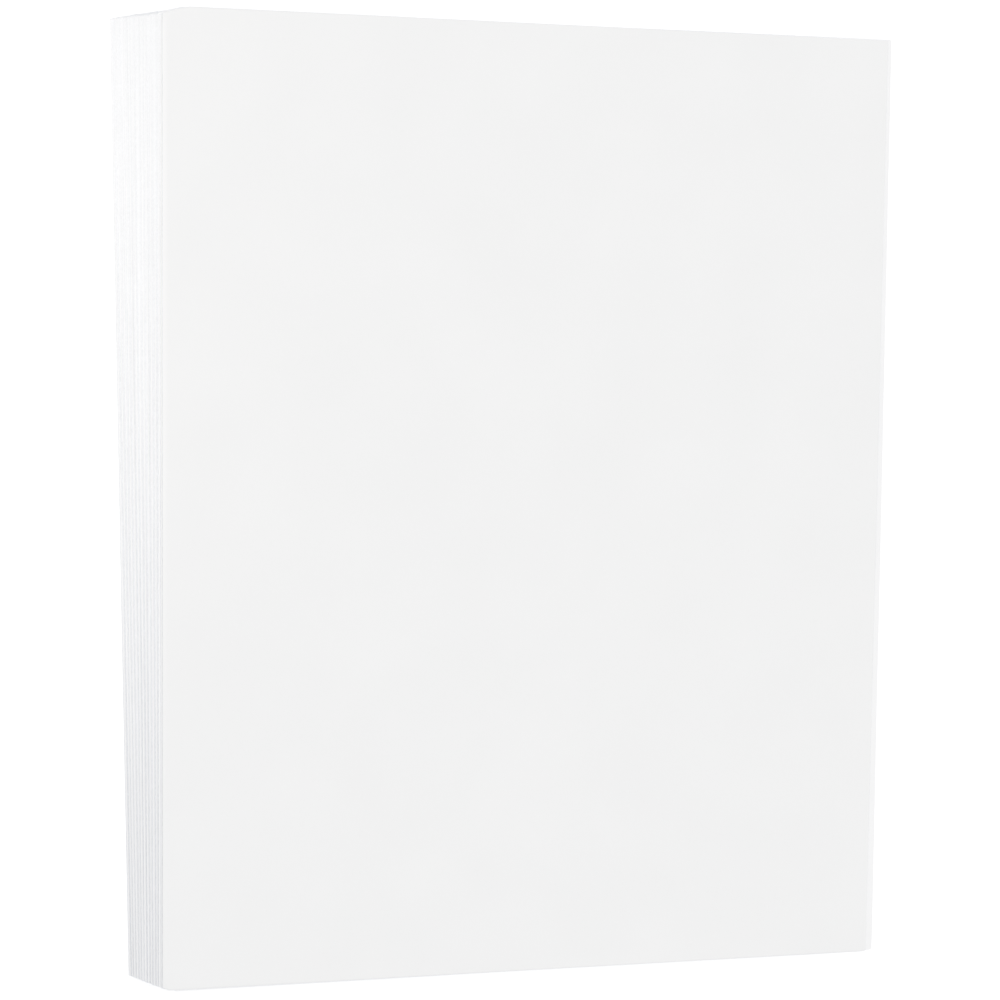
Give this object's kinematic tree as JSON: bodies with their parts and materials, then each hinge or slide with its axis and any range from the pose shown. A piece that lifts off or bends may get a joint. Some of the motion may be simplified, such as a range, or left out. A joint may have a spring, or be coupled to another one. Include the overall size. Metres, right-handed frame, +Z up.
{
  "type": "pack of bristol card stock",
  "caption": "Pack of loose white letter-size bristol card sheets, stacked flat and slipped a little to one side.",
  "frame": {"origin": "middle of the bottom sheet's underside, where the pack rests on the table", "axes": "+X across the sheets, +Y along their length and +Z up through the stack; the top sheet is square to X and Y"},
  "size_m": [0.2319, 0.2834, 0.02],
  "materials": {
    "card_stock": "matt uncoated white bristol with a fine vellum tooth and clean guillotined edges"
  },
  "bodies": {
    "root": {"sheet_01": "card_stock", "sheet_02": "card_stock", "sheet_03": "card_stock", "sheet_04": "card_stock", "sheet_05": "card_stock", "sheet_06": "card_stock", "sheet_07": "card_stock", "sheet_08": "card_stock", "sheet_09": "card_stock", "sheet_10": "card_stock", "sheet_11": "card_stock", "sheet_12": "card_stock", "sheet_13": "card_stock", "sheet_14": "card_stock", "sheet_15": "card_stock", "sheet_16": "card_stock", "sheet_17": "card_stock", "sheet_18": "card_stock", "sheet_19": "card_stock", "sheet_20": "card_stock", "sheet_21": "card_stock", "sheet_22": "card_stock", "sheet_23": "card_stock", "sheet_24": "card_stock", "sheet_25": "card_stock", "sheet_26": "card_stock", "sheet_27": "card_stock", "sheet_28": "card_stock", "sheet_29": "card_stock", "sheet_30": "card_stock", "sheet_31": "card_stock", "sheet_32": "card_stock", "sheet_33": "card_stock", "sheet_34": "card_stock", "sheet_35": "card_stock", "sheet_36": "card_stock", "sheet_37": "card_stock", "sheet_38": "card_stock", "sheet_39": "card_stock", "sheet_40": "card_stock", "sheet_41": "card_stock", "sheet_42": "card_stock", "sheet_43": "card_stock", "sheet_44": "card_stock", "sheet_45": "card_stock", "sheet_46": "card_stock", "sheet_47": "card_stock", "sheet_48": "card_stock", "sheet_49": "card_stock", "sheet_50": "card_stock"}
  },
  "joints": []
}
